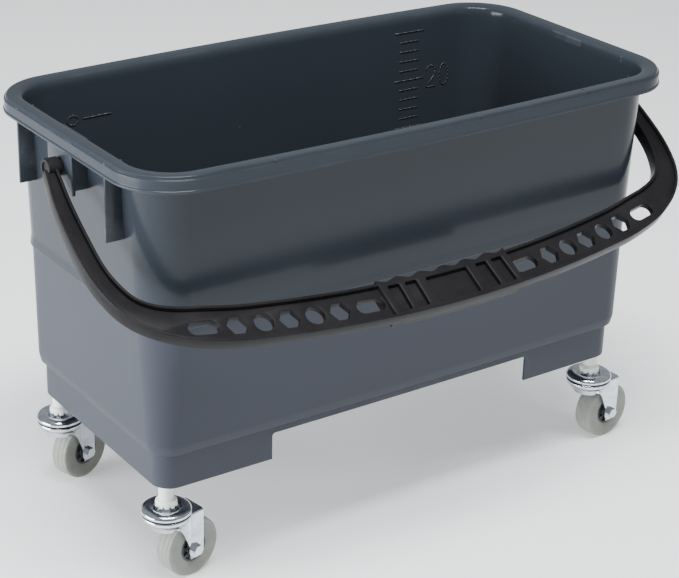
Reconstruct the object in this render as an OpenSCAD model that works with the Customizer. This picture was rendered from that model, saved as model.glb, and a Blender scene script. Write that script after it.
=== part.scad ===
// Wheeled wash bucket: a tapered plastic tub with a swing-over bail handle, on four
// swivel castors. Millimetres, +Z up. X runs along the tub's length and the bail is
// folded down to the front, at -Y. The origin is on the floor, under the middle of the
// whole outline.

/* [Tub] */
// Length over the rim
rim_length = 515; // [490:1:540]
// Width over the rim, at its ends
rim_width = 259; // [245:1:275]
// Outer corner radius of the rim
rim_radius = 47; // [44:1:52]
// How far the rim overhangs the wall
rim_overhang = 13.5; // [12:0.5:15]
// Height of the lip that hangs from the rim
rim_lip = 13; // [10:0.5:16]
// Height from the skirt's foot to the rim
tub_height = 267; // [250:1:285]
// Outward bow of each long side of the rim at its middle
side_bow = 6.5; // [3:0.5:8]
// Height of the waist line above the skirt's foot
waist_height = 139.5; // [120:0.5:150]
// Height of the recessed skirt
skirt_height = 31; // [30:0.5:34]
// How far the skirt stands in from the rim
skirt_inset = 26.8; // [25:0.2:28]
// Wall thickness
wall = 2.5; // [2:0.1:3]

/* [Ends of the tub] */
// Width of the lug that carries the handle
lug_width = 39; // [34:1:44]
// Height of the lug's lower edge above the skirt's foot
lug_foot = 226; // [220:1:228]
// Distance of each stiffening fin from the middle
fin_spacing = 70.5; // [60:0.5:75]
// Height of a fin's lower edge above the skirt's foot
fin_foot = 203; // [195:1:215]

/* [Handle] */
// Height of the pivots above the skirt's foot
pivot_height = 240; // [238:0.5:242]
// Angle of the folded handle below the horizontal
fold_angle = 30.5; // [26:0.5:34]
// Distance from the pivots to the middle of the hand bar
handle_reach = 190.5; // [188:0.5:196]
// Radius of the hand bar's gentle bow
bar_bow_radius = 1075; // [900:5:1400]
// Radius of the pivot pins
pin_radius = 7; // [6:0.25:7]
// Length of the thickened grip
grip_length = 124; // [112:1:130]

/* [Castors] */
// Wheel diameter
wheel_diameter = 51; // [48:1:52]
// Wheel width
wheel_width = 17; // [15:0.5:18]
// Castor stems' distance from the middle, along the length
stem_x = 219.5; // [216:0.5:221]
// Castor stems' distance from the middle, across the width
stem_y = 90; // [86:0.5:91]
// How far the axle trails behind the stem
castor_trail = 20.8; // [19:0.2:23]
// Clear height from the floor to the skirt's foot
ride_height = 89.5; // [88.5:0.5:91]

/* [Hidden] */
$fn = 64;
slate = [0.29, 0.31, 0.35];
black = [0.06, 0.06, 0.07];
zinc = [0.72, 0.75, 0.78];
ivory = [0.90, 0.89, 0.85];
rubber = [0.60, 0.61, 0.57];
dark_hub = [0.12, 0.12, 0.13];

// each castor: name, side along X, side along Y, angle it has swivelled to
CASTORS = [
    ["front_left", -1, -1, 10],
    ["front_right", 1, -1, 5],
    ["rear_left", -1, 1, 18],
    ["rear_right", 1, 1, 12]
];
CASTOR_PIECES = [
    "stem_sleeve", "stem", "upper_cup", "upper_balls", "lower_washer", "fork",
    "axle_bolt", "axle_nut", "axle_bush", "wheel_hub", "tyre"
];

// tub levels, above the skirt's foot
rim_under = tub_height - wall;
lip_foot = tub_height - rim_lip;
floor_top = skirt_height + 3;
notch_length = 260;
notch_height = 23.5;
waist_inset = rim_overhang + 4;
foot_inset = rim_overhang + 8;
lip_thickness = 2.2;
corner_steps = 7;
side_steps = 8;

// handle section: web in the handle's own plane, a flange along each edge
flange_top = 6.5;
flange_foot = -4.5;
flange_width = 2.4;
web_thickness = 2.5;
grip_foot = -9;
hole_pitch = 21.2;
hole_start = 102.2;
pocket_depth = 6;
eye_radius = 8;
eye_x = 268.5;
pin_start = rim_length/2 - 12;
pin_clearance = 0.05;

// castor levels, below the skirt's foot
wheel_radius = wheel_diameter/2;
axle_z = wheel_radius - ride_height;
sleeve_radius = 5.8;
sleeve_foot = -20.4;
stem_radius = 4;
cup_top = -19.4;
cup_radius = 20.3;
cup_sheet = 1.2;
cup_recess = -21.2;
cup_edge = -26.2;
plate_top = -29.2;
plate_thickness = 1.8;
ball_radius = 3;
ball_gap = 0.35;
race_top = cup_top - cup_sheet - 2*ball_radius - 2*ball_gap;
washer_top = plate_top - plate_thickness - 0.4;
leg_inner = wheel_width/2 + 1.6;
leg_thickness = 1.8;
leg_outer = leg_inner + leg_thickness;
fork_front = -14;
fork_bend = 3;
axle_radius = 2.5;
bush_radius = 4;
hub_radius = 12.5;
running_gap = 0.05;

// the whole outline's middle, so that the origin lies under it
bar_outer = handle_reach + 16;
handle_front = bar_outer*cos(fold_angle) + flange_top*sin(fold_angle);
tub_y = (handle_front - rim_width/2 - side_bow)/2;

// ---- helpers ----

module at_tub() {
    translate([0, tub_y, ride_height]) children();
}

// puts a castor piece, drawn about its stem with the wheel trailing along +X, in place
module at_castor(c) {
    at_tub() translate([c[1]*stem_x, c[2]*stem_y, 0]) rotate([0, 0, c[3]]) children();
}

module tube(outer, inner, height) {
    difference() {
        cylinder(r = outer, h = height);
        translate([0, 0, -1]) cylinder(r = inner, h = height + 2);
    }
}

// a cylinder along Y from y0 to y1, about the axle
module axle_cylinder(radius, y0, y1, sides = $fn) {
    translate([castor_trail, y0, axle_z]) rotate([-90, 0, 0])
        cylinder(r = radius, h = y1 - y0, $fn = sides);
}

// ---- tub ----

function bowed(x, y, a, b, bow) =
    [x, y + sign(y)*bow*(1 - pow(x/a, 2))*pow(abs(y)/b, 4)];

// one level of the tub: a rounded rectangle with bowed long sides
function tub_ring(inset, radius, z, bow) =
    let (a = rim_length/2 - inset, b = rim_width/2 - inset)
    [for (q = [0 : 3])
        let (
            sx = (q == 0 || q == 3) ? 1 : -1,
            sy = q < 2 ? 1 : -1,
            arc = [for (i = [0 : corner_steps])
                let (t = 90*q + 90*i/corner_steps)
                [sx*(a - radius) + radius*cos(t), sy*(b - radius) + radius*sin(t)]],
            run = q % 2 == 1 ? [] : [for (i = [1 : side_steps - 1])
                [sx*(a - radius)*(1 - 2*i/side_steps), sy*b]]
        )
        for (p = concat(arc, run)) let (s = bowed(p.x, p.y, a, b, bow)) [s.x, s.y, z]];

// levels from the floor's underside, down the skirt, up the wall, over the rim and
// down the inside to the floor: [inset, corner radius, height, bow]
levels = concat(
    [
        [skirt_inset + wall, 13.5, skirt_height, 1.5],
        [skirt_inset + wall, 13.5, 0, 1.5],
        [skirt_inset, 16, 0, 1.5],
        [skirt_inset, 16, skirt_height, 1.5],
        [foot_inset + 4, 17, skirt_height, 1.5]
    ],
    [for (t = [30 : 30 : 90]) [foot_inset + 4*(1 - sin(t)), 20, skirt_height + 4*(1 - cos(t)), 1.5]],
    [
        [waist_inset + 0.6, 29, waist_height - 0.6, 3.5],
        [waist_inset - 0.6, 30, waist_height, 3.5],
        [waist_inset, 30, waist_height + 8, 3.8],
        [rim_overhang, 36, rim_under, side_bow],
        [lip_thickness, 45, rim_under, side_bow],
        [lip_thickness, 45, lip_foot, side_bow],
        [0, rim_radius, lip_foot, side_bow],
        [0, rim_radius, tub_height - 1.8, side_bow]
    ],
    [for (t = [45, 90]) [1.8*(1 - cos(t)), rim_radius - 1, tub_height - 1.8*(1 - sin(t)), side_bow]],
    [
        [rim_overhang - 1, 35.5, tub_height, side_bow],
        [rim_overhang + 1.6, 34, tub_height - 1.4, side_bow],
        [rim_overhang + wall, 33.5, tub_height - 5, side_bow],
        [waist_inset + wall, 28, waist_height, 3.5],
        [foot_inset + wall, 18, skirt_height + 10, 1.5],
        [foot_inset + wall + 1.2, 17, floor_top + 2, 1.5],
        [foot_inset + wall + 4, 14, floor_top, 1.5]
    ]
);

module tub_shell() {
    rings = [for (v = levels) tub_ring(v[0], v[1], v[2], v[3])];
    n = len(rings[0]);
    last = (len(rings) - 1)*n;
    walls = [for (k = [0 : len(rings) - 2]) for (i = [0 : n - 1])
        let (j = (i + 1) % n, p = k*n, r = p + n)
        each [[p + i, r + i, r + j], [p + i, r + j, p + j]]];
    caps = [[for (i = [0 : n - 1]) i], [for (i = [n - 1 : -1 : 0]) last + i]];
    polyhedron([for (r = rings) each r], concat(walls, caps));
}

// the lug at the +X end, with the bore that the handle's pin turns in
module lug() {
    root = rim_length/2 - rim_overhang - 2.4;
    face = rim_length/2 - 0.2;
    difference() {
        translate([root, -lug_width/2, lug_foot])
            cube([face - root, lug_width, rim_under + 1 - lug_foot]);
        translate([pin_start - 0.3, 0, pivot_height]) rotate([0, 90, 0])
            cylinder(r = pin_radius + pin_clearance, h = 30);
    }
}

module end_fins() {
    root = rim_length/2 - rim_overhang - 2.4;
    for (side = [-1, 1])
        translate([root, side*fin_spacing - 1.1, fin_foot])
            cube([rim_length/2 - 0.2 - root, 2.2, rim_under + 1 - fin_foot]);
}

module tub() {
    color(slate) at_tub() difference() {
        union() {
            difference() {
                tub_shell();
                translate([-notch_length/2, -rim_width/2, -1])
                    cube([notch_length, rim_width, notch_height + 1]);
            }
            for (turn = [0, 180]) rotate([0, 0, turn]) {
                lug();
                end_fins();
            }
            for (c = CASTORS)
                translate([c[1]*stem_x, c[2]*stem_y, 0.5]) cylinder(r = 9, h = skirt_height);
        }
        for (c = CASTORS) translate([c[1]*stem_x, c[2]*stem_y, -1])
            cylinder(r = sleeve_radius, h = skirt_height - 1);
    }
}

// ---- bail handle, drawn flat: hand bar towards -Y, pivot axis along X ----

// centre line of the +X half beyond the bar, as [x, distance from the pivots, half width]
arm_line = [
    [214, 169.2, 13.5], [231, 164.5, 11], [248, 157.5, 9.2], [262, 146.5, 8.5],
    [271.5, 130, 8], [276.5, 105, 7.5], [276, 72, 7], [272.5, 38, 6.5], [267.5, 6, 5.5]
];
bar_end = 186;
bar_half_width = 16;

function bar_point(x) = [x, handle_reach - x*x/(2*bar_bow_radius), bar_half_width];
function spline(p, q, r, s, t) =
    0.5*(2*q + (r - p)*t + (2*p - 5*q + 4*r - s)*t*t + (3*q - p - 3*r + s)*t*t*t);

half_keys = concat([for (x = [0 : 31 : bar_end]) bar_point(x)], arm_line);
keys = concat([bar_point(-31)], half_keys, [[265, -26, 5]]);
half_line = concat(
    [for (k = [1 : len(keys) - 3]) for (t = [0 : 0.25 : 0.9])
        spline(keys[k - 1], keys[k], keys[k + 1], keys[k + 2], t)],
    [half_keys[len(half_keys) - 1]]
);

// a point at a share of the half width to one side of the centre line
function beside(line, i, share, trim) =
    let (
        p = line[i],
        a = line[max(i - 1, 0)],
        b = line[min(i + 1, len(line) - 1)],
        d = [b.x - a.x, b.y - a.y]/norm([b.x - a.x, b.y - a.y]),
        w = share*(p[2] - trim)
    )
    [p.x - w*d.y, -(p.y + w*d.x)];
function mirrored(points) = [for (i = [len(points) - 1 : -1 : 1]) [-points[i].x, points[i].y]];
function full_edge(share, trim) =
    let (half = [for (i = [0 : len(half_line) - 1]) beside(half_line, i, share, trim)])
    concat(mirrored(half), half);
function reversed(points) = [for (i = [len(points) - 1 : -1 : 0]) points[i]];

// the handle's band, its edges trimmed by a given width
module band(trim) {
    polygon(concat(full_edge(1, trim), reversed(full_edge(-1, trim))));
}

module slot_hole(length, radius) {
    square([length, 2*radius], center = true);
    for (side = [-1, 1]) translate([side*length/2, 0]) circle(r = radius);
}

// seven openings on the +X side: slot, then hexagons and circles in turn, then a slot
module handle_holes() {
    places = [for (k = [0 : 4]) hole_start + k*hole_pitch];
    for (k = [0 : 4]) {
        p = bar_point(places[k]);
        translate([p.x, -p.y]) rotate(atan(p.x/bar_bow_radius)) {
            if (k % 2 == 0) circle(r = 8.6, $fn = 6);
            else circle(r = 8);
        }
    }
    for (x = [hole_start - 27, hole_start + 4*hole_pitch + 27]) {
        p = bar_point(x);
        translate([p.x, -p.y]) rotate(atan(p.x/bar_bow_radius)) slot_hole(13, 6);
    }
}

module grip_block() {
    half = grip_length/2;
    inner = handle_reach - bar_half_width;
    translate([0, 0, grip_foot]) linear_extrude(height = flange_top - grip_foot) {
        polygon(concat(
            [for (x = [-half : 3.1 : half]) [x, -inner + 1.5 + 1.5*cos(360*x/21.5) + x*x/2150]],
            [for (x = [half : -15.5 : -half]) [x, -handle_reach - bar_half_width + x*x/2150]]
        ));
    }
}

module grip_pockets() {
    widths = [11, 11, 40, 11, 11];
    places = [-50.5, -34.5, 0, 34.5, 50.5];
    translate([0, 0, flange_top - pocket_depth]) linear_extrude(height = pocket_depth + 1)
        for (k = [0 : 4])
            translate([places[k], -handle_reach + places[k]*places[k]/2150])
                square([widths[k], 2*bar_half_width - 8], center = true);
}

// the eye and the pin at the +X end; the pin is one piece with the handle
module handle_eye() {
    rotate([0, 90, 0]) {
        translate([0, 0, pin_start]) cylinder(r = pin_radius, h = eye_x - pin_start);
        translate([0, 0, rim_length/2 + 0.5])
            cylinder(r = eye_radius, h = eye_x - rim_length/2 - 0.5);
    }
}

module bail_handle() {
    color(black) at_tub() translate([0, 0, pivot_height]) rotate([fold_angle, 0, 0]) {
        difference() {
            union() {
                translate([0, 0, flange_foot])
                    linear_extrude(height = flange_top - flange_foot) band(0);
                grip_block();
            }
            difference() {
                union() {
                    linear_extrude(height = flange_top + 1) band(flange_width);
                    translate([0, 0, flange_foot - 1])
                        linear_extrude(height = -web_thickness - flange_foot + 1)
                            band(flange_width);
                }
                translate([-grip_length/2 + 2, -handle_reach - 20, grip_foot - 2])
                    cube([grip_length - 4, 40, 30]);
                for (side = [-1, 1]) translate([side*268, 0, -10]) cylinder(r = 14, h = 20);
            }
            translate([0, 0, -web_thickness - 1]) linear_extrude(height = web_thickness + 2) {
                handle_holes();
                mirror([1, 0]) handle_holes();
            }
            grip_pockets();
        }
        for (turn = [0, 180]) rotate([0, 0, turn]) handle_eye();
    }
}

// ---- castor pieces, about the stem, z below the skirt's foot, wheel towards +X ----

module stem_sleeve() {
    color(ivory) difference() {
        union() {
            translate([0, 0, sleeve_foot]) cylinder(r = sleeve_radius, h = 48);
            translate([0, 0, sleeve_foot + 3]) cylinder(r1 = 8.4, r2 = sleeve_radius, h = 5);
            translate([0, 0, sleeve_foot]) cylinder(r = 8.4, h = 3);
        }
        translate([0, 0, sleeve_foot - 1]) cylinder(r = stem_radius, h = 60);
        for (k = [0 : 9]) rotate([0, 0, 36*k])
            translate([8.6, 0, sleeve_foot - 1]) cylinder(r = 1.1, h = 4);
    }
}

// steel stem, peened over below the fork
module stem() {
    color(zinc) {
        translate([0, 0, washer_top - 2]) cylinder(r = stem_radius, h = 60);
        translate([0, 0, washer_top - 4]) cylinder(r1 = 4.8, r2 = 6.2, h = 2);
    }
}

// one face of the pressed cup: up from the recess, over the ridge, down to the edge
function cup_face(sink, edge) =
    let (recess = 9, ridge = 13, shoulder = 4)
    concat(
        [for (t = [0 : 0.2 : 1])
            [recess + (ridge - recess)*t, cup_recess - sink + (cup_top - cup_recess)*(3*t*t - 2*t*t*t)]],
        [for (t = [15 : 15 : 90])
            [ridge + (edge - ridge)*sin(t), cup_top - shoulder + (shoulder - sink)*cos(t)]],
        [[edge, cup_edge]]
    );

module upper_cup() {
    color(zinc) {
        rotate_extrude() polygon(concat(
            cup_face(0, cup_radius),
            reversed(cup_face(cup_sheet, cup_radius - cup_sheet))
        ));
        translate([0, 0, cup_recess - cup_sheet]) tube(9.1, stem_radius, cup_sheet);
    }
}

module upper_balls() {
    color(zinc) for (k = [0 : 10]) rotate([0, 0, 360*k/11])
        translate([13, 0, cup_top - cup_sheet - ball_radius - ball_gap]) sphere(r = ball_radius);
}

// dished washer between the fork and the peened end of the stem
module lower_washer() {
    color(zinc) translate([0, 0, washer_top - 2]) difference() {
        union() {
            translate([0, 0, 0.8]) cylinder(r = 9, h = 1.2);
            cylinder(r1 = 6.8, r2 = 8, h = 0.8);
        }
        translate([0, 0, -1]) cylinder(r = stem_radius, h = 6);
    }
}

// side view of one leg: a swept front edge, an upright rear edge, round about the axle
module leg_outline() {
    eye = 7.5;
    run = castor_trail - 7 - fork_front;
    start = plate_top - fork_bend;
    knee = [for (t = [0 : 0.1 : 1]) [fork_front + run*t, start - (start - axle_z + 4)*pow(t, 2.2)]];
    polygon(concat(
        knee, [[castor_trail, axle_z], [castor_trail + eye, axle_z], [castor_trail + eye, start]]
    ));
    translate([castor_trail, axle_z]) circle(r = eye);
}

module fork() {
    bend = fork_bend;
    length = castor_trail + 7.5 - fork_front;
    color(zinc) difference() {
        union() {
            for (side = [-1, 1])
                translate([0, side*(leg_inner + leg_thickness/2) + leg_thickness/2, 0])
                    rotate([90, 0, 0]) linear_extrude(height = leg_thickness) leg_outline();
            // bent shoulders, a quarter round along each side of the plate
            for (side = [-1, 1]) intersection() {
                translate([fork_front, side*(leg_outer - bend), plate_top - bend]) rotate([0, 90, 0])
                    tube(bend, bend - plate_thickness, length);
                translate([fork_front, side > 0 ? leg_outer - bend : -leg_outer, plate_top - bend])
                    cube([length, bend, bend]);
            }
            translate([fork_front, -leg_outer + bend, plate_top - plate_thickness])
                cube([length, 2*(leg_outer - bend), plate_thickness]);
            // disc with an upturned edge and a raised raceway
            translate([0, 0, plate_top - plate_thickness]) {
                cylinder(r = cup_radius - 0.4, h = plate_thickness);
                tube(cup_radius - 0.4, cup_radius - 2, cup_edge - 0.6 - plate_top + plate_thickness);
                tube(15.5, 10.5, race_top - plate_top + plate_thickness);
            }
        }
        translate([0, 0, plate_top - 10]) cylinder(r = stem_radius + running_gap, h = 20);
        axle_cylinder(axle_radius, -leg_outer - 5, leg_outer + 5);
    }
}

module axle_bolt() {
    color(zinc) {
        axle_cylinder(axle_radius, -leg_outer - 1, leg_outer + 7);
        axle_cylinder(4.6, -leg_outer - 3.5, -leg_outer, 6);
    }
}

module axle_nut() {
    color(zinc) difference() {
        axle_cylinder(4.6, leg_outer, leg_outer + 4, 6);
        axle_cylinder(axle_radius, leg_outer - 1, leg_outer + 6);
    }
}

module axle_bush() {
    color(zinc) difference() {
        axle_cylinder(bush_radius, -leg_inner, leg_inner);
        axle_cylinder(axle_radius, -leg_inner - 1, leg_inner + 1);
    }
}

module wheel_hub() {
    dish = 1.5;
    color(dark_hub) difference() {
        axle_cylinder(hub_radius, -wheel_width/2 + 0.5, wheel_width/2 - 0.5);
        axle_cylinder(bush_radius + running_gap, -wheel_width, wheel_width);
        for (side = [-1, 1]) translate([0, side*(wheel_width/2 - 0.5), 0]) difference() {
            axle_cylinder(hub_radius - 2, -dish, dish);
            axle_cylinder(bush_radius + 2, -2*dish, 2*dish);
        }
    }
}

module tyre() {
    half = wheel_width/2;
    shoulder = 2.2;
    section = concat(
        [[hub_radius, -half + 0.5], [hub_radius + 1.5, -half]],
        [for (t = [0 : 18 : 90])
            [wheel_radius - shoulder*(1 - sin(t)), -half + shoulder*(1 - cos(t))]],
        [for (t = [90 : -18 : 0])
            [wheel_radius - shoulder*(1 - sin(t)), half - shoulder*(1 - cos(t))]],
        [[hub_radius + 1.5, half], [hub_radius, half - 0.5]]
    );
    color(rubber) translate([castor_trail, 0, axle_z]) rotate([90, 0, 0])
        rotate_extrude() polygon(section);
}

module castor_piece(piece) {
    if (piece == "stem_sleeve") stem_sleeve();
    if (piece == "stem") stem();
    if (piece == "upper_cup") upper_cup();
    if (piece == "upper_balls") upper_balls();
    if (piece == "lower_washer") lower_washer();
    if (piece == "fork") fork();
    if (piece == "axle_bolt") axle_bolt();
    if (piece == "axle_nut") axle_nut();
    if (piece == "axle_bush") axle_bush();
    if (piece == "wheel_hub") wheel_hub();
    if (piece == "tyre") tyre();
}

tub();
bail_handle();
for (c = CASTORS) for (p = CASTOR_PIECES)
    at_castor(c) castor_piece(p);
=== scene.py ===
"""Looks for the wheeled wash bucket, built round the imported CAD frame.

Drawing units are millimetres about the tub: X along it, the handle folded to -Y, and Z
up from the skirt's foot. Each piece is moved into the row frame as its mesh is made.
"""

import math

import bmesh
import bpy
from mathutils import Matrix, Vector


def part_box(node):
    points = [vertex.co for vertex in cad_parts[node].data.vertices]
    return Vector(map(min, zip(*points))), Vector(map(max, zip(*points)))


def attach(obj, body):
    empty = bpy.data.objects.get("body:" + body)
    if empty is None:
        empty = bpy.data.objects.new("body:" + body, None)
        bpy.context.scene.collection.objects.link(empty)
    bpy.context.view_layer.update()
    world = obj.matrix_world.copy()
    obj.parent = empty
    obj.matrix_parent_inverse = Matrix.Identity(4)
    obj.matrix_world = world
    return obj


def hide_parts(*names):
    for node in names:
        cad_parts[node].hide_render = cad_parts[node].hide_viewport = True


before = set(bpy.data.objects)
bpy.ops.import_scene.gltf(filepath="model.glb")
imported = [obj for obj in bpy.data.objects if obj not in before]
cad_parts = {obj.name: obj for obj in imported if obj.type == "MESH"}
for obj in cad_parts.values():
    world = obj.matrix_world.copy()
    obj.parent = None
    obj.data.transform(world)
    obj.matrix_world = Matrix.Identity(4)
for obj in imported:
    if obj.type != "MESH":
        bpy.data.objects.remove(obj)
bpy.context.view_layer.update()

# ---- sizes: from the frame where it gives them, else in step with the part's source ----

MM = 0.001
tub_low, tub_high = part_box("tub")
TUB = Matrix.Translation((0, (tub_low.y + tub_high.y) / 2, tub_low.z)) @ Matrix.Scale(MM, 4)

# the rim, half its length and width, and how far its long sides bow out
RIM_X = tub_high.x / MM
RIM_BOW = 6.5
RIM_Y = (tub_high.y - tub_low.y) / 2 / MM - RIM_BOW
RIM_RADIUS = 47
OVERHANG = 13.5
LIP = 13.0
LIP_SHEET = 2.2

# the walls, whose insets are measured from the rim's outer edge
HEIGHT = (tub_high.z - tub_low.z) / MM
WALL = 2.5
WAIST = 139.5
WAIST_INSET = OVERHANG + 4
WAIST_BOW = 3.5
SKIRT = 31.0
SKIRT_INSET = 26.8
FOOT_INSET = OVERHANG + 8
FOOT_BOW = 1.5
FLOOR = SKIRT + 3
NOTCH_HALF = 130.0
NOTCH_HEIGHT = 23.5

# the end lugs and the fins beside them
LUG_HALF = 19.5
FIN_Y = 70.5

# the handle, measured from its pivots as it stands straight out; as in the photo, its web is
# thicker than the CAD's, and its bar hangs to the left by SWAY
PIVOT_Z = 240.0
FOLD = math.radians(30.5)
REACH = 190.5
BOW_RADIUS = 1075.0
BAR_HALF = 16.0
FLANGE_TOP = 6.5
FLANGE_FOOT = -4.5
FLANGE = 2.4
WEB_FOOT = -2.5
WEB_TOP = 3.0
HOLE_START = 102.2
HOLE_PITCH = 21.2
GRIP_HALF = 62.0
GRIP_FOOT = -9.0
BUMP_PITCH = 21.5
EYE_X = 268.5
SWAY = 7.0
HALF_SPAN = 280.0

# the castors, drawn about their stems with Z as for the tub
STEM_X = 219.5
STEM_Y = 90
BORE = 4.05
TRAIL = 20.8
CUP = 20.3
PLATE_TOP = -29.2
WHEEL = (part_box("tyre_front_left")[1].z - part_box("tyre_front_left")[0].z) / 2 / MM
AXLE_Z = WHEEL - tub_low.z / MM

# which way each corner lies, and the angle of its castor in degrees
CORNERS = {
    "front_left": (-1, -1, 10),
    "front_right": (1, -1, 5),
    "rear_left": (-1, 1, 18),
    "rear_right": (1, 1, 12),
}


# ---- materials ----


class Shader:
    """A material's node tree, with short calls for the nodes used here."""

    def __init__(self, name):
        self.material = bpy.data.materials.new(name)
        self.material.use_nodes = True
        self.tree = self.material.node_tree
        self.main = self.tree.nodes["Principled BSDF"]
        self.coords = self.tree.nodes.new("ShaderNodeTexCoord").outputs["Object"]

    def set(self, **values):
        """Sets uniform values; a socket's name is written with underscores."""
        for key, value in values.items():
            socket = self.main.inputs[key.replace("_", " ")]
            colour = isinstance(value, tuple) and len(socket.default_value) == 4
            socket.default_value = (*value, 1) if colour else value
        return self

    def link(self, source, target):
        """Links to a socket, or to the shader's input of that name."""
        if isinstance(target, str):
            target = self.main.inputs[target]
        self.tree.links.new(source, target)

    def scaled(self, scale):
        node = self.tree.nodes.new("ShaderNodeMapping")
        node.inputs["Scale"].default_value = scale
        self.link(self.coords, node.inputs["Vector"])
        return node.outputs["Vector"]

    def noise(self, scale, detail, rough=0.5, distortion=0.0, coords=None):
        node = self.tree.nodes.new("ShaderNodeTexNoise")
        node.inputs["Scale"].default_value = scale
        node.inputs["Detail"].default_value = detail
        node.inputs["Roughness"].default_value = rough
        node.inputs["Distortion"].default_value = distortion
        self.link(coords or self.coords, node.inputs["Vector"])
        return node.outputs["Fac"]

    def voronoi(self, scale):
        node = self.tree.nodes.new("ShaderNodeTexVoronoi")
        node.inputs["Scale"].default_value = scale
        self.link(self.coords, node.inputs["Vector"])
        return node.outputs["Distance"]

    def ramp(self, source, low, high, to=(0.0, 1.0)):
        node = self.tree.nodes.new("ShaderNodeMapRange")
        node.inputs["From Min"].default_value = low
        node.inputs["From Max"].default_value = high
        node.inputs["To Min"].default_value = to[0]
        node.inputs["To Max"].default_value = to[1]
        self.link(source, node.inputs["Value"])
        return node.outputs["Result"]

    def math(self, kind, a, b):
        """Does a sum on two values, each a number or a socket."""
        node = self.tree.nodes.new("ShaderNodeMath")
        node.operation = kind
        for value, socket in zip((a, b), node.inputs):
            if isinstance(value, (int, float)):
                socket.default_value = value
            else:
                self.link(value, socket)
        return node.outputs[0]

    def mix(self, share, a, b):
        """Blends two colours, each a tuple or a socket."""
        node = self.tree.nodes.new("ShaderNodeMix")
        node.data_type = "RGBA"
        self.link(share, node.inputs["Factor"])
        for value, socket in ((a, node.inputs[6]), (b, node.inputs[7])):
            if isinstance(value, tuple):
                socket.default_value = (*value, 1)
            else:
                self.link(value, socket)
        return node.outputs[2]

    def edges(self):
        """Finds the convex edges, where plastic is rubbed pale."""
        node = self.tree.nodes.new("ShaderNodeNewGeometry")
        return self.ramp(node.outputs["Pointiness"], 0.51, 0.57)

    def bump(self, height, distance, strength, under=None):
        """Turns a height into a normal; distance is in metres."""
        node = self.tree.nodes.new("ShaderNodeBump")
        node.inputs["Distance"].default_value = distance
        node.inputs["Strength"].default_value = strength
        self.link(height, node.inputs["Height"])
        if under:
            self.link(under, node.inputs["Normal"])
        return node.outputs["Normal"]


def moulded_plastic(name, upper, lower, scuff):
    """Injection moulding in two finishes: glossy above the waist, satin below it. Below the waist the
    tones are also paler: painted light standing in for the lower wall's brighter lighting. Each
    finish has a pair of tones, and edges and nicks show the scuff's."""
    s = Shader(name).set(Specular_IOR_Level=0.16)
    split = s.tree.nodes.new("ShaderNodeSeparateXYZ")
    s.link(s.coords, split.inputs[0])
    waist = (TUB @ Vector((0, 0, WAIST))).z
    below = s.ramp(split.outputs["Z"], waist + 0.0006, waist - 0.0008)
    flow = s.noise(6, 3, 0.5)
    nick = s.ramp(s.voronoi(65), 0.035, 0.02)
    rare = s.ramp(s.noise(21, 2), 0.60, 0.66)
    nicks = s.math("MULTIPLY", nick, rare)
    worn = s.math("MULTIPLY", s.edges(), s.ramp(s.noise(34, 5), 0.42, 0.68))
    # painted light: the tones below the waist are paler, for the lower wall's brighter lighting
    tone = s.mix(below, s.mix(flow, upper[0], upper[1]), s.mix(flow, lower[0], lower[1]))
    tone = s.mix(s.math("MULTIPLY", worn, 0.10), tone, scuff)
    s.link(s.mix(s.math("MULTIPLY", nicks, 0.7), tone, scuff), "Base Color")
    glossy = s.ramp(flow, 0, 1, (0.12, 0.26))
    satin = s.ramp(flow, 0, 1, (0.34, 0.5))
    rough = s.math("ADD", s.math("MULTIPLY", below, s.math("SUBTRACT", satin, glossy)), glossy)
    s.link(s.math("ADD", rough, s.math("MULTIPLY", worn, 0.12)), "Roughness")
    fine = s.bump(s.noise(420, 2), 0.00003, 0.3)
    s.link(s.bump(s.noise(9, 1), 0.0008, 0.25, under=fine), "Normal")
    return s.material


def satin_black(name):
    """Fine-grained black plastic with a broad dull sheen and rubbed edges."""
    s = Shader(name).set(Specular_IOR_Level=0.07)
    cloud = s.noise(26, 4, 0.6)
    grain = s.voronoi(1500)
    worn = s.math("MULTIPLY", s.edges(), s.ramp(s.noise(55, 4), 0.4, 0.7))
    tone = s.mix(s.ramp(cloud, 0.3, 0.7), (0.010, 0.0095, 0.0102), (0.0155, 0.0147, 0.0155))
    s.link(s.mix(s.math("MULTIPLY", worn, 0.08), tone, (0.10, 0.10, 0.105)), "Base Color")
    s.link(s.ramp(cloud, 0.25, 0.75, (0.24, 0.36)), "Roughness")
    s.link(s.bump(grain, 0.00003, 0.45), "Normal")
    return s.material


def bright_zinc(name, tone=(0.74, 0.77, 0.81), dark=(0.50, 0.55, 0.60), rough=(0.08, 0.22)):
    """Zinc plating: bright, with soft streaks, faint bluish clouds and a few dull spots."""
    s = Shader(name).set(Metallic=1.0)
    cloud = s.noise(95, 4, 0.6, 0.4)
    streak = s.noise(420, 3, coords=s.scaled((1, 1, 0.15)))
    spots = s.ramp(s.voronoi(330), 0.16, 0.08)
    dull = s.math("MULTIPLY", spots, s.ramp(s.noise(120, 2), 0.52, 0.6))
    colour = s.mix(s.ramp(cloud, 0.35, 0.7), tone, dark)
    s.link(s.mix(dull, colour, (0.42, 0.43, 0.44)), "Base Color")
    base = s.ramp(s.math("ADD", cloud, streak), 0.7, 1.3, rough)
    s.link(s.math("ADD", base, s.math("MULTIPLY", dull, 0.25)), "Roughness")
    s.link(s.bump(s.math("ADD", streak, cloud), 0.00008, 0.5), "Normal")
    return s.material


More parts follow.
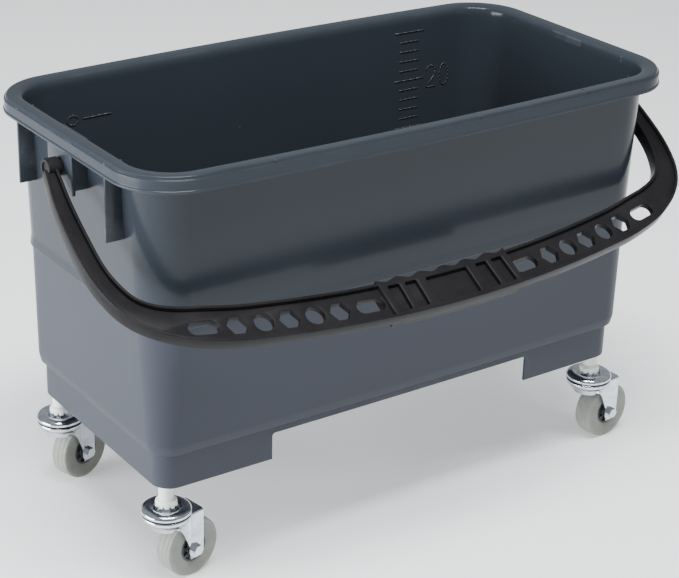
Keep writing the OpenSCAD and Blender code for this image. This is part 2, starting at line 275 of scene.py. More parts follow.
def sleeve_plastic(name):
    """Ivory nylon, slightly translucent, with faint grime."""
    s = Shader(name).set(Subsurface_Weight=0.08, Subsurface_Scale=1.0)
    s.set(Subsurface_Radius=(0.002, 0.002, 0.0015))
    cloud = s.noise(60, 3)
    grime = s.ramp(s.noise(180, 4), 0.56, 0.72)
    tone = s.mix(s.ramp(cloud, 0.3, 0.7), (0.78, 0.78, 0.75), (0.86, 0.86, 0.84))
    s.link(s.mix(s.math("MULTIPLY", grime, 0.25), tone, (0.5, 0.48, 0.43)), "Base Color")
    s.link(s.ramp(cloud, 0.3, 0.7, (0.34, 0.5)), "Roughness")
    s.link(s.bump(s.noise(900, 2), 0.00004, 0.4), "Normal")
    return s.material


def grey_rubber(name, deep, pale):
    """Dull grey rubber with dusty clouds and a fine grain."""
    s = Shader(name)
    cloud = s.noise(110, 5, 0.65)
    dust = s.ramp(s.noise(45, 4), 0.45, 0.75)
    tone = s.mix(s.ramp(cloud, 0.3, 0.7), deep, pale)
    dusty = tuple(c * 1.35 for c in pale)
    s.link(s.mix(s.math("MULTIPLY", dust, 0.4), tone, dusty), "Base Color")
    s.link(s.ramp(cloud, 0.25, 0.75, (0.5, 0.72)), "Roughness")
    s.link(s.bump(s.noise(2200, 3), 0.00006, 0.6), "Normal")
    return s.material


def hub_plastic(name):
    """Dark matt plastic of the wheel's centre."""
    s = Shader(name)
    cloud = s.noise(130, 4)
    tone = s.mix(s.ramp(cloud, 0.3, 0.7), (0.020, 0.020, 0.021), (0.045, 0.045, 0.046))
    s.link(tone, "Base Color")
    s.link(s.ramp(cloud, 0.3, 0.7, (0.4, 0.6)), "Roughness")
    s.link(s.bump(s.noise(1500, 2), 0.00005, 0.5), "Normal")
    return s.material


def greased_steel(name):
    """Steel inside the ball races, dark with grease and painted dark as the shade in their narrow gaps."""
    s = Shader(name).set(Metallic=0.4)
    cloud = s.noise(160, 4)
    s.link(s.mix(cloud, (0.008, 0.008, 0.008), (0.022, 0.020, 0.017)), "Base Color")
    s.link(s.ramp(cloud, 0.25, 0.75, (0.45, 0.6)), "Roughness")
    s.link(s.bump(s.noise(700, 3), 0.00008, 0.5), "Normal")
    return s.material


SCUFF = (0.30, 0.33, 0.37)
UPPER_TONES = (0.021, 0.026, 0.033), (0.027, 0.033, 0.041)
# the lower tones are paler than the upper ones as painted light, for the lower wall's brighter lighting
PAINTED_LIGHT_LOWER_TONES = (0.031, 0.035, 0.047), (0.038, 0.043, 0.056)
# the litre marks' lighter tones are a painted highlight along their raised lines
MARK_HIGHLIGHT_TONES = (0.036, 0.043, 0.051), (0.044, 0.052, 0.062)
SLATE = moulded_plastic("slate_tub_plastic", UPPER_TONES, PAINTED_LIGHT_LOWER_TONES, SCUFF)
PAINTED_HIGHLIGHT_MARK = moulded_plastic("litre_mark_painted_highlight", MARK_HIGHLIGHT_TONES, MARK_HIGHLIGHT_TONES, SCUFF)
BLACK = satin_black("black_handle_plastic")
ZINC = bright_zinc("bright_zinc")
BALL = bright_zinc("polished_ball", (0.7, 0.7, 0.7), (0.6, 0.6, 0.6), (0.06, 0.14))
IVORY = sleeve_plastic("ivory_sleeve_plastic")
RUBBER = grey_rubber("grey_tyre_rubber", (0.19, 0.195, 0.172), (0.26, 0.265, 0.235))
# a darker copy of the tread rubber for the wheel's faces: painted shade, since the faces get less light
SHADED_WHEEL_FACE = grey_rubber("grey_wheel_face_painted_shade", (0.17, 0.175, 0.155), (0.225, 0.23, 0.205))
HUB = hub_plastic("dark_hub_plastic")
GREASE_AND_SHADE = greased_steel("greased_steel")


# ---- mesh helpers ----


def link_new(name, data):
    obj = bpy.data.objects.new(name, data)
    bpy.context.scene.collection.objects.link(obj)
    return obj


def mesh_of(obj):
    """The mesh of an object with its modifiers, or of a curve with its thickness."""
    bpy.context.view_layer.update()
    return bpy.data.meshes.new_from_object(obj.evaluated_get(bpy.context.evaluated_depsgraph_get()))


def baked(bm, name):
    """Empties a bmesh into a new mesh."""
    mesh = bpy.data.meshes.new(name)
    bm.to_mesh(mesh)
    bm.free()
    return mesh


def finish_mesh(bm, name, place, materials, body, node, sharp):
    """Turns a bmesh in millimetres into a piece in the row frame that stands for a CAD node."""
    bm.transform(place)
    limit = math.radians(sharp)
    for f in bm.faces:
        f.smooth = True
    for e in bm.edges:
        e.smooth = len(e.link_faces) == 2 and e.calc_face_angle(0) < limit
    mesh = baked(bm, name)
    for material in materials:
        mesh.materials.append(material)
    obj = link_new(name, mesh)
    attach(obj, body)
    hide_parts(node)


def loft(bm, rings):
    """Skins closed rings that have the same count of points, and caps both ends."""
    rows = [[bm.verts.new(p) for p in ring] for ring in rings]
    count = len(rows[0])
    for a, b in zip(rows, rows[1:]):
        for i in range(count):
            j = (i + 1) % count
            bm.faces.new((a[i], a[j], b[j], b[i]))
    bm.faces.new(list(reversed(rows[0])))
    bm.faces.new(rows[-1])


def close_round(bm, rings):
    """Skins closed rings that follow each other once round, the last to the first."""
    rows = [[bm.verts.new(p) for p in ring] for ring in rings]
    count = len(rows[0])
    for k, a in enumerate(rows):
        b = rows[(k + 1) % len(rows)]
        for i in range(count):
            j = (i + 1) % count
            bm.faces.new((a[i], b[i], b[j], a[j]))
    return rows


def spun(bm, profile, centre, axis, sides):
    """Revolves a closed profile of (radius, height) points about an axis through centre."""
    turn = Vector((0, 0, 1)).rotation_difference(Vector(axis)).to_matrix()
    rings = []
    for k in range(sides):
        a = 2 * math.pi * k / sides
        ring = [turn @ Vector((r * math.cos(a), r * math.sin(a), h)) for r, h in profile]
        rings.append([Vector(centre) + p for p in ring])
    rows = close_round(bm, rings)
    bmesh.ops.remove_doubles(bm, verts=[v for row in rows for v in row], dist=1e-4)


def eased(points, reach, steps):
    """Rounds the inner corners of an open line by quadratic curves. A point's first and third
    values set the distances, and its reach is the length that its rounding takes up."""
    line = [points[0]]
    for k in range(1, len(points) - 1):
        a, p, b = (Vector(points[i]) for i in (k - 1, k, k + 1))
        before = math.hypot(a[0] - p[0], a[2] - p[2])
        after = math.hypot(b[0] - p[0], b[2] - p[2])
        start = p + (a - p) * min(0.48, reach[k] / max(before, 1e-6))
        end = p + (b - p) * min(0.48, reach[k] / max(after, 1e-6))
        for i in range(steps + 1):
            t = i / steps
            line.append(tuple(start * (1 - t) ** 2 + p * 2 * t * (1 - t) + end * t * t))
    line.append(points[-1])
    return line


def eased_profile(points, steps):
    """Rounds a profile's corners; its points are (radius, height, reach of the rounding)."""
    line = eased([(r, 0, z) for r, z, _ in points], [reach for _, _, reach in points], steps)
    return [(p[0], p[2]) for p in line]


def soft_box(bm, low, high, radius, segments=3):
    """A box with rounded edges."""
    made = bmesh.ops.create_cube(bm, size=1)["verts"]
    size = [h - l for l, h in zip(low, high)]
    middle = [(h + l) / 2 for l, h in zip(low, high)]
    bmesh.ops.scale(bm, vec=size, verts=made)
    bmesh.ops.translate(bm, vec=middle, verts=made)
    if radius:
        edges = list(dict.fromkeys(e for v in made for e in v.link_edges))
        bmesh.ops.bevel(bm, geom=edges, offset=radius, segments=segments, affect="EDGES", profile=0.5)


def placed_box(bm, low, high, radius, place):
    """A rounded box, put in its place by a matrix."""
    box = bmesh.new()
    soft_box(box, low, high, radius, 2)
    box.transform(place)
    mesh = baked(box, "box")
    bm.from_mesh(mesh)
    bpy.data.meshes.remove(mesh)


def plate(bm, outline, holes, z0, z1, bevel):
    """Extrudes a flat outline with holes between two heights, its edges bevelled."""
    curve = bpy.data.curves.new("plate", "CURVE")
    curve.dimensions = "2D"
    curve.fill_mode = "BOTH"
    curve.extrude = (z1 - z0) / 2 - bevel
    curve.bevel_depth = bevel
    curve.bevel_resolution = 2
    curve.offset = -bevel
    for line in [outline, *holes]:
        spline = curve.splines.new("POLY")
        spline.points.add(len(line) - 1)
        for point, (x, y) in zip(spline.points, line):
            point.co = (x, y, 0, 1)
        spline.use_cyclic_u = True
    obj = link_new("plate", curve)
    mesh = mesh_of(obj)
    mesh.transform(Matrix.Translation((0, 0, (z0 + z1) / 2)))
    before = len(bm.verts)
    bm.from_mesh(mesh)
    bm.verts.ensure_lookup_table()
    bmesh.ops.remove_doubles(bm, verts=bm.verts[before:], dist=0.002)
    bpy.data.objects.remove(obj)
    bpy.data.curves.remove(curve)
    bpy.data.meshes.remove(mesh)


def arc(cx, cy, r, start, end, steps):
    angles = [math.radians(start + (end - start) * i / steps) for i in range(steps + 1)]
    return [(cx + r * math.cos(a), cy + r * math.sin(a)) for a in angles]


def rounded_rectangle(width, height, r, steps=5):
    x, y = width / 2 - r, height / 2 - r
    line = []
    for sx, sy, start in ((1, 1, 0), (-1, 1, 90), (-1, -1, 180), (1, -1, 270)):
        line += arc(sx * x, sy * y, r, start, start + 90, steps)
    return line


def turned(line, x, y, angle):
    """Turns a polygon drawn about the origin by an angle in radians, and moves it."""
    c, s = math.cos(angle), math.sin(angle)
    return [(x + px * c - py * s, y + px * s + py * c) for px, py in line]


# ---- tub ----


def tub_ring(inset, radius, z, bow):
    """One level of the tub: a rounded rectangle whose long sides bow outwards."""
    corner_steps, side_steps, end_steps = 14, 34, 10
    a, b = RIM_X - inset, RIM_Y - inset
    straight_x, straight_y = a - radius, b - radius
    ring = []
    for quarter, (sx, sy) in enumerate(((1, 1), (-1, 1), (-1, -1), (1, -1))):
        for i in range(corner_steps + 1):
            t = math.radians(90 * quarter + 90 * i / corner_steps)
            ring.append((sx * straight_x + radius * math.cos(t), sy * straight_y + radius * math.sin(t)))
        if quarter % 2 == 0:
            ring += [(sx * straight_x * (1 - 2 * i / side_steps), sy * b) for i in range(1, side_steps)]
        else:
            ring += [(sx * a, sy * straight_y * (1 - 2 * i / end_steps)) for i in range(1, end_steps)]
    return [
        (x, y + math.copysign(bow, y) * (1 - (x / a) ** 2) * (abs(y) / b) ** 4, z) for x, y in ring
    ]


def tub_profile():
    """Levels from the floor's underside, down the skirt, up the wall, over the rim and down
    the inside, as (inset, corner radius, height, bow), with the reach of each one's rounding."""
    levels = [
        ((SKIRT_INSET + WALL, 13.5, SKIRT, FOOT_BOW), 0),
        ((SKIRT_INSET + WALL, 13.5, 0, FOOT_BOW), 0.8),
        ((SKIRT_INSET, 16, 0, FOOT_BOW), 0.8),
        ((SKIRT_INSET, 16, SKIRT, FOOT_BOW), 0.9),
        ((FOOT_INSET + 1.6, 18.6, SKIRT, FOOT_BOW), 1.0),
        ((FOOT_INSET, 20, SKIRT + 7.5, FOOT_BOW), 1.3),
        # a fine step at the waist
        ((WAIST_INSET + 0.9, 29, WAIST - 1.0, WAIST_BOW), 0.4),
        ((WAIST_INSET - 0.9, 30, WAIST, WAIST_BOW), 0.5),
        ((WAIST_INSET, 30, WAIST + 8, WAIST_BOW + 0.3), 2.5),
        # the rim: its hanging lip, a bead along the lip's foot and the top
        ((OVERHANG, 36, HEIGHT - WALL, RIM_BOW), 1.2),
        ((LIP_SHEET, RIM_RADIUS - 2, HEIGHT - WALL, RIM_BOW), 0.9),
        ((LIP_SHEET, RIM_RADIUS - 2, HEIGHT - LIP, RIM_BOW), 0.7),
        ((0, RIM_RADIUS, HEIGHT - LIP, RIM_BOW), 0.7),
        ((0, RIM_RADIUS, HEIGHT - LIP + 2.0, RIM_BOW), 0.5),
        ((0.7, RIM_RADIUS - 0.5, HEIGHT - LIP + 2.5, RIM_BOW), 0.5),
        ((0.7, RIM_RADIUS - 0.5, HEIGHT - 3.0, RIM_BOW), 0.5),
        ((1.6, 46.1, HEIGHT - 2.6, RIM_BOW), 0.4),
        ((2.4, 45.7, HEIGHT - 0.2, RIM_BOW), 1.0),
        ((4.2, 45.0, HEIGHT, RIM_BOW), 0.8),
        ((OVERHANG - 3.6, 38.0, HEIGHT - 0.3, RIM_BOW), 1.2),
        ((OVERHANG + 1.2, 34.6, HEIGHT - 1.3, RIM_BOW), 2.4),
        # the inside
        ((OVERHANG + WALL, 33.5, HEIGHT - 7, RIM_BOW), 3),
        ((WAIST_INSET + WALL, 28, WAIST, WAIST_BOW), 3),
        ((FOOT_INSET + WALL, 18, FLOOR, FOOT_BOW), 7),
        ((FOOT_INSET + WALL + 9, 9.5, FLOOR, FOOT_BOW - 0.3), 0),
    ]
    return eased([level for level, _ in levels], [reach for _, reach in levels], 4)


def cut_notches(bm):
    """Cuts the long notch through the skirt's front and back, and returns the new bmesh."""
    bmesh.ops.recalc_face_normals(bm, faces=bm.faces)
    shell = baked(bm, "shell")
    block = bmesh.new()
    high = (NOTCH_HALF, RIM_Y, NOTCH_HEIGHT)
    soft_box(block, [-v for v in high], high, 2.5, 4)
    cutter_mesh = baked(block, "cutter")
    work, cutter = link_new("work", shell), link_new("cutter", cutter_mesh)
    cut = work.modifiers.new("notches", "BOOLEAN")
    cut.operation = "DIFFERENCE"
    cut.solver = "EXACT"
    cut.object = cutter
    result = mesh_of(work)
    bm = bmesh.new()
    bm.from_mesh(result)
    for obj in (work, cutter):
        bpy.data.objects.remove(obj)
    for mesh in (shell, cutter_mesh, result):
        bpy.data.meshes.remove(mesh)
    return bm


def add_lugs(bm):
    """The pivot lug and the fins at each end, their side walls running back to the tub."""
    root = RIM_X - OVERHANG - 2.4
    face = RIM_X - 1.0
    under = HEIGHT - WALL + 0.5

    def end_box(side, x, y, z, radius):
        near, far = sorted(side * v for v in x)
        soft_box(bm, (near, y[0], z[0]), (far, y[1], z[1]), radius)

    for side in (-1, 1):
        end_box(side, (root, RIM_X - 2.4), (-LUG_HALF, LUG_HALF), (225.5, under), 0.8)
        end_box(side, (RIM_X - 4.2, face), (-LUG_HALF, LUG_HALF), (221.5, under), 1.0)
        for y in (-FIN_Y, FIN_Y):
            end_box(side, (root, face), (y - 1.1, y + 1.1), (203, under), 0.5)


def add_bosses(bm):
    """The tubes under the floor that take the castors' sleeves."""
    wall = [(5.9, 0.4), (8.6, 0.4), (9, 0.8), (9, SKIRT + 1), (5.9, SKIRT + 1)]
    for sx, sy, _ in CORNERS.values():
        spun(bm, wall, (sx * STEM_X, sy * STEM_Y, 0), (0, 0, 1), 40)


def add_witness_marks(bm):
    """Fine lines that the mould leaves across the rim."""
    for x, sy in ((-150, -1), (38, -1), (150, -1), (96, 1)):
        y = sy * (RIM_Y + RIM_BOW * (1 - (x / RIM_X) ** 2) - 6.5)
        soft_box(bm, (x - 0.25, y - 5.8, HEIGHT - 1.2), (x + 0.25, y + 4.6, HEIGHT - 0.02), 0.1, 1)


def inner_wall_y(x, z):
    """Where the inside of the back wall stands, at a place along it and a height."""
    up = (z - WAIST) / (HEIGHT - WALL - WAIST)
    if up < 0:
        down = (z - SKIRT) / (WAIST - SKIRT)
        inset, bow = FOOT_INSET - 4 * down, FOOT_BOW + 2 * down
    else:
        inset, bow = WAIST_INSET - 4 * up, WAIST_BOW + 3 * up
    a, b = RIM_X - inset, RIM_Y - inset
    return b + bow * (1 - (x / a) ** 2) - WALL


def add_rib(bm, points, half=0.55):
    """A thin raised rib along a line of (x, z) points on the inside of the back wall."""
    rise, sunk = 0.3, 0.4
    for (x0, z0), (x1, z1) in zip(points, points[1:]):
        along = Vector((x1 - x0, z1 - z0)).normalized()
        n = Vector((-along.y, along.x)) * half
        e = along * half * 0.8
        corners = (
            (x0 - e.x + n.x, z0 - e.y + n.y),
            (x1 + e.x + n.x, z1 + e.y + n.y),
            (x1 + e.x - n.x, z1 + e.y - n.y),
            (x0 - e.x - n.x, z0 - e.y - n.y),
        )
        cx, cz = (x0 + x1) / 2, (z0 + z1) / 2
        low, high = [], []
        for x, z in corners:
            y = inner_wall_y(x, z)
            low.append((x, y + sunk, z))
            high.append((x + (cx - x) * 0.02, y - rise, z + (cz - z) * 0.02))
        loft(bm, [low, high])


def add_number(bm, text, x, z, height):
    """A plain number made of ribs, each digit drawn in a box of width and height 1."""
    width = height * 0.5
    ring = [math.pi * k / 8 for k in range(17)]
    digits = {
        "2": [(0, 0.8), (0.12, 0.95), (0.5, 1), (0.88, 0.93), (1, 0.75), (0.9, 0.55), (0, 0), (1, 0)],
        "0": [(0.5 + 0.5 * math.cos(a), 0.5 + 0.5 * math.sin(a)) for a in ring],
        "1": [(0.2, 0.8), (0.55, 1), (0.55, 0)],
    }
    for k, digit in enumerate(text):
        left = x + k * height * 0.72
        add_rib(bm, [(left + px * width, z + (py - 0.5) * height) for px, py in digits[digit]])


def add_litre_marks(bm):
    """The scale on the inside of the back wall, and the ring with a line at its left."""
    top_litre, top_z, litre_step = 25, 250.7, 8.95
    number_x, number_height = 178, 20
    for litre in range(2, top_litre + 1):
        z = top_z - (top_litre - litre) * litre_step
        start, length = (143, 31) if litre % 5 == 0 else (148, 20)
        add_rib(bm, [(start + length * k / 4, z) for k in range(5)])
    for litre in (20, 10):
        z = top_z - (top_litre - litre) * litre_step
        add_number(bm, str(litre), number_x, z, number_height)
    line_x, ring_x, line_z = -176, -186, 228.6
    add_rib(bm, [(line_x + 6.5 * k, line_z) for k in range(5)])
    ring = [math.pi * k / 10 for k in range(21)]
    add_rib(bm, [(ring_x + 5 * math.cos(a), line_z + 4 * math.sin(a)) for a in ring], 0.4)


def build_tub():
    bm = bmesh.new()
    loft(bm, [tub_ring(*level) for level in tub_profile()])
    bm = cut_notches(bm)
    add_lugs(bm)
    add_bosses(bm)
    add_witness_marks(bm)
    plain = len(bm.faces)
    add_litre_marks(bm)
    # the marks take the lighter copy of the plastic: a painted highlight
    bm.faces.ensure_lookup_table()
    for f in bm.faces[plain:]:
        f.material_index = 1
    finish_mesh(bm, "tub_shell", TUB, (SLATE, PAINTED_HIGHLIGHT_MARK), "root", "tub", 40)


# ---- bail handle ----


def hang(x, y):
    """The hand bar hangs a few millimetres to the left; the left arm takes it up in its bend."""
    t = max(0.0, min(1.0, (-y - 10) / 150))
    share = 1.0 if x > 0 else max(0.0, 1 - (x / HALF_SPAN) ** 6)
    return x - SWAY * share * t * t * (3 - 2 * t)


def sag(x):
    """How much nearer the pivots the bowed bar is than at its middle."""
    return x * x / (2 * BOW_RADIUS)


def bar_point(x):
    return (x, REACH - sag(x), BAR_HALF)


def handle_line():
    """Centre line of the handle from end to end, as (x, distance from the pivots, half width),
    by a Catmull-Rom curve through its key points."""
    steps = 8
    arm = [
        (214, 167.2, 15.5), (231, 161.5, 14), (248, 153, 12.2), (261.5, 141.5, 10.8),
        (270, 126, 10), (275, 103, 8.9), (275, 72, 8.2), (272.5, 38, 7), (267.5, 6, 5.5),
    ]
    keys = [bar_point(31 * k) for k in range(-1, 7)] + arm + [(265, -26, 5)]
    half = []
    for k in range(1, len(keys) - 2):
        p, q, r, s = (Vector(keys[i]) for i in (k - 1, k, k + 1, k + 2))
        square = 2 * p - 5 * q + 4 * r - s
        cube = 3 * q - p - 3 * r + s
        for i in range(steps):
            t = i / steps
            half.append(0.5 * (2 * q + (r - p) * t + square * t ** 2 + cube * t ** 3))
    half.append(Vector(keys[-2]))
    return [Vector((-v.x, v.y, v.z)) for v in reversed(half[1:])] + half


def handle_edge(line, share, trim):
    """The band's edge on one side of its centre line, trimmed towards the line."""
    edge = []
    for i, p in enumerate(line):
        a, b = line[max(i - 1, 0)], line[min(i + 1, len(line) - 1)]
        d = Vector((b.x - a.x, b.y - a.y)).normalized()
        w = share * (p.z - trim)
        edge.append((p.x - w * d.y, -(p.y + w * d.x)))
    return edge


def handle_holes():
    """Seven openings on each side: a slot, hexagons and circles in turn, and a slot."""
    slot = rounded_rectangle(25, 12, 5.99, 8)
    hexagon = arc(0, 0, 8.9, 0, 300, 5)
    circle = arc(0, 0, 8, 0, 345, 23)
    holes = []
    for side in (-1, 1):
        for k in range(-1, 6):
            x = HOLE_START + HOLE_PITCH * k + {-1: -5.8, 5: 5.8}.get(k, 0)
            shape = slot if k in (-1, 5) else (hexagon, circle)[k % 2]
            holes.append(turned(shape, side * x, -bar_point(x)[1], side * x / BOW_RADIUS))
    return holes


def add_grip(bm):
    """The grip in the bar's middle: finger bumps on its inner edge, pockets in its top."""
    bump_steps, side_steps = 80, 40
    outline = []
    for k in range(bump_steps + 1):
        x = GRIP_HALF - 2 * GRIP_HALF * k / bump_steps
        bump = 1.5 + 1.5 * math.cos(2 * math.pi * x / BUMP_PITCH)
        outline.append((x, BAR_HALF - REACH + bump + sag(x)))
    for k in range(side_steps + 1):
        x = -GRIP_HALF + 2 * GRIP_HALF * k / side_steps
        outline.append((x, -REACH - BAR_HALF + 0.4 + sag(x)))
    outline.reverse()
    pockets = []
    for x, width in ((-50.5, 11), (-34.5, 11), (0, 40), (34.5, 11), (50.5, 11)):
        pocket = rounded_rectangle(width, 2 * BAR_HALF - 8, 1.6)
        pockets.append(turned(pocket, x, -REACH + sag(x), x / BOW_RADIUS))
    plate(bm, outline, [], GRIP_FOOT, 0.6, 0.9)
    plate(bm, outline, pockets, 0, FLANGE_TOP + 0.3, 0.7)


def add_eyes(bm):
    """At each end a disc with a raised edge, and the pin that goes into the lug."""
    back = RIM_X + 0.6
    profile = [
        (0, back - 12), (6.9, back - 12), (6.9, back), (7.6, back), (8, back + 0.5),
        (8, EYE_X - 0.6), (7.4, EYE_X), (5.6, EYE_X), (5.0, EYE_X - 1.2), (0, EYE_X - 1.2),
    ]
    for side in (-1, 1):
        spun(bm, profile, (0, 0, 0), (side, 0, 0), 48)


def build_handle():
    bm = bmesh.new()
    line = handle_line()
    web = handle_edge(line, 1, FLANGE / 2) + handle_edge(line, -1, FLANGE / 2)[::-1]
    plate(bm, web, handle_holes(), WEB_FOOT, WEB_TOP, 0.3)
    for share in (-1, 1):
        rail = handle_edge(line, share, 0) + handle_edge(line, share, FLANGE)[::-1]
        plate(bm, rail, [], FLANGE_FOOT, FLANGE_TOP, 0.7)
    add_grip(bm)
    add_eyes(bm)
    for v in bm.verts:
        v.co.x = hang(v.co.x, v.co.y)
    place = TUB @ Matrix.Translation((0, 0, PIVOT_Z)) @ Matrix.Rotation(FOLD, 4, "X")
    finish_mesh(bm, "bail_handle_body", place, (BLACK,), "bail", "bail_handle", 40)


# ---- castors ----


def finish_castor(bm, name, corner, materials, body, node, sharp):
    """Finishes a piece drawn about a stem as the one of the castor at a corner."""
    sx, sy, angle = CORNERS[corner]
    stem = TUB @ Matrix.Translation((sx * STEM_X, sy * STEM_Y, 0))
    place = stem @ Matrix.Rotation(math.radians(angle), 4, "Z")
    finish_mesh(bm, f"{name}_{corner}", place, materials, body, f"{node}_{corner}", sharp)


def build_cup(corner):
    """Pressed upper cup: a dished middle, a ridge and a bulging shoulder."""
    lip = CUP - 1.2
    outer = [
        (BORE, -23.2, 0), (8.9, -23.2, 0.8), (10.2, -21.6, 1), (13.2, -20.1, 1.2),
        (15.8, -20.1, 1.2), (18.9, -21.3, 1.2), (CUP, -23.2, 0.8), (CUP, -24.8, 0),
    ]
    inner = [
        (BORE, -24.4, 0), (9.2, -24.4, 0.8), (10.6, -22.8, 1), (15.4, -21.3, 3),
        (lip, -23.4, 1.2), (lip, -24.8, 0),
    ]
    bm = bmesh.new()
    spun(bm, eased_profile(outer, 6) + eased_profile(inner, 6)[::-1], (0, 0, 0), (0, 0, 1), 80)
    # faces under the cup in the ball race take the dark steel: grease, and painted shade of the gap
    for f in bm.faces:
        c = f.calc_center_median()
        if c.z < -22.6 and 9.6 < math.hypot(c.x, c.y) < CUP - 0.3:
            f.material_index = 1
    finish_castor(bm, "cup", corner, (ZINC, GREASE_AND_SHADE), "root", "upper_cup", 50)


def build_sleeve(corner):
    """Ivory sleeve: a straight tube that flares to a scalloped foot."""
    top, foot, flare, bore = 27.6, -19.8, 8.8, 4.06
    sides, lobes = 80, 10
    profile = eased_profile(
        [
            (6, top, 0), (6, -12.8, 1.2), (flare, -15, 2.2),
            (flare, foot, 0.4), (bore, foot, 0.2), (bore, top, 0),
        ],
        4,
    )
    rings = []
    for k in range(sides):
        a = 2 * math.pi * k / sides
        scallop = max(0.0, math.cos(lobes * a)) ** 2
        ring = []
        for r, z in profile:
            near_foot = max(0.0, min(1.0, (-16.6 - z) / 2.4)) * (r > 6.2)
            rise = 1.6 * scallop * near_foot * (z < -19)
            r -= 0.75 * scallop * near_foot
            ring.append((r * math.cos(a), r * math.sin(a), z + rise))
        rings.append(ring)
    bm = bmesh.new()
    close_round(bm, rings)
    bmesh.ops.recalc_face_normals(bm, faces=bm.faces)
    finish_castor(bm, "sleeve", corner, (IVORY,), "root", "stem_sleeve", 50)


def build_stem(corner):
    """Steel stem with its peened end, pressed into a star, in a dished washer."""
    end = -34.7
    profile = [(0, 25), (4, 25), (4, -31.0), (6.0, -33.2), (6.0, end + 0.6), (5.5, end), (0, end)]
    bm = bmesh.new()
    spun(bm, profile, (0, 0, 0), (0, 0, 1), 48)
    for k in range(6):
        place = Matrix.Translation((0, 0, end)) @ Matrix.Rotation(math.pi * k / 3, 4, "Z")
        placed_box(bm, (1.2, -0.55, -0.6), (5.2, 0.55, 0.35), 0.3, place)
    finish_castor(bm, "stem_steel", corner, (ZINC,), "root", "stem", 40)


# the fork: its sheet, its shoulders' radius, its flat rear panels and the fold in front of
# them, the legs' top, the foot of their apron, and the radius of their round end
FORK_SHEET = 1.7
FORK_BEND = 2.6
FORK_HALF = 11.9
FORK_REAR = TRAIL + 7.5
FORK_FOLD = 14.7
LEG_TOP = -30.6
APRON = -38.4
LEG_END = 7.4


def fork_leg_level(z, side):
    """One level of a leg, as the ring of its outer and inner skin. Its front flares from the
    axle up to the raceway, and its back is a flat panel beyond the fold."""
    front_steps, rear_steps = 24, 10
    top_radius = CUP - 1.2
    down = (LEG_TOP - z) / (LEG_TOP - (AXLE_Z + 4))
    below = (APRON - z) / (APRON - (AXLE_Z + 4))
    taper = min(1.0, (LEG_TOP - z) / (LEG_TOP - APRON)) ** 0.8
    round_r = top_radius + (13.4 - top_radius) * taper
    front = 0.4 + (TRAIL - 7.6) * min(1.0, below) ** 0.6 if below > 0 else 0.05 - round_r
    back = FORK_REAR
    if z < AXLE_Z:
        wide = math.sqrt(max(LEG_END ** 2 - (AXLE_Z - z) ** 2, 0.0)) + 0.02
        front, back = max(front, TRAIL - wide), min(back, TRAIL + wide)
    crease = 0.8 * max(0.0, min(1.0, 1.25 - down * 1.25)) ** 0.5

    def half_width(x):
        y = math.sqrt(max(round_r ** 2 - x * x, 0.0))
        if x >= 0:
            y = max(y, FORK_HALF + 0.15 * max(0.0, FORK_FOLD - x))
        return y + crease * max(0.0, 1 - abs(x - FORK_FOLD) / 1.5)

    flare = min(FORK_FOLD, back) - front
    xs = [front + flare * (1 - math.cos(math.pi / 2 * i / front_steps)) for i in range(front_steps)]
    start = max(FORK_FOLD, front)
    xs += [start + (back - start) * i / rear_steps for i in range(rear_steps + 1)]
    outer = [(x, side * half_width(x), z) for x in xs]
    inner = [(x, side * (half_width(x) - FORK_SHEET), z) for x in xs]
    ring = outer + inner[::-1]
    return ring if side > 0 else ring[::-1]


def fork_shoulder(side):
    """The rounded bend from a leg's rear panel to the top plate, as sections to loft."""
    start, steps = 12.0, 8
    under = PLATE_TOP - FORK_SHEET
    y_centre, z_centre = FORK_HALF - FORK_BEND, PLATE_TOP - FORK_BEND
    skins = [((FORK_HALF, LEG_TOP - 0.6), (FORK_HALF - FORK_SHEET, LEG_TOP - 0.6))]
    for k in range(steps + 1):
        a = math.radians(90 * k / steps)
        skins.append(
            tuple(
                (y_centre + r * math.cos(a), z_centre + r * math.sin(a))
                for r in (FORK_BEND, FORK_BEND - FORK_SHEET)
            )
        )
    skins.append(((4.2, PLATE_TOP), (4.2, under)))
    return [
        [(start, side * y, z), (FORK_REAR, side * y, z), (FORK_REAR, side * iy, iz), (start, side * iy, iz)]
        for (y, z), (iy, iz) in skins
    ]


def build_fork(corner):
    """Pressed fork: a bulging raceway ring, and two legs that run from the ring's edge to
    the axle, with a fold where each flat rear panel meets the flared front."""
    race = [
        (BORE, PLATE_TOP, 0), (9.6, PLATE_TOP, 0.4), (10.6, -27.4, 0.4), (15.4, -27.4, 0.4),
        (16.4, PLATE_TOP, 0.4), (CUP - 3.4, PLATE_TOP, 0.3), (CUP - 3.2, -25.7, 0.3),
        (CUP - 1.8, -26.0, 0.5), (CUP, -27.4, 1.2), (CUP - 0.7, -30.4, 1.2), (CUP - 4, -31.2, 0.8),
        (BORE, PLATE_TOP - FORK_SHEET, 0),
    ]
    leg_steps, apron_steps = 24, 4
    leg_foot = AXLE_Z - LEG_END
    levels = [leg_foot + 0.05 + (APRON - 0.3 - leg_foot) * k / leg_steps for k in range(leg_steps + 1)]
    levels += [APRON + (LEG_TOP - APRON) * k / apron_steps for k in range(apron_steps + 1)]
    bm = bmesh.new()
    spun(bm, eased_profile(race, 3), (0, 0, 0), (0, 0, 1), 80)
    for side in (-1, 1):
        loft(bm, [fork_leg_level(z, side) for z in levels])
        loft(bm, fork_shoulder(side))
    soft_box(bm, (10.0, -4.3, PLATE_TOP - FORK_SHEET), (FORK_REAR, 4.3, PLATE_TOP), 0.0)
    bmesh.ops.recalc_face_normals(bm, faces=bm.faces)
    # faces inside the raceway take the dark steel: grease, and painted shade of the gap
    for f in bm.faces:
        c = f.calc_center_median()
        if c.z > -27.0 and math.hypot(c.x, c.y) < CUP - 0.9:
            f.material_index = 1
    body = f"castor_{corner}"
    finish_castor(bm, "fork_sheet", corner, (ZINC, GREASE_AND_SHADE), body, "fork", 38)


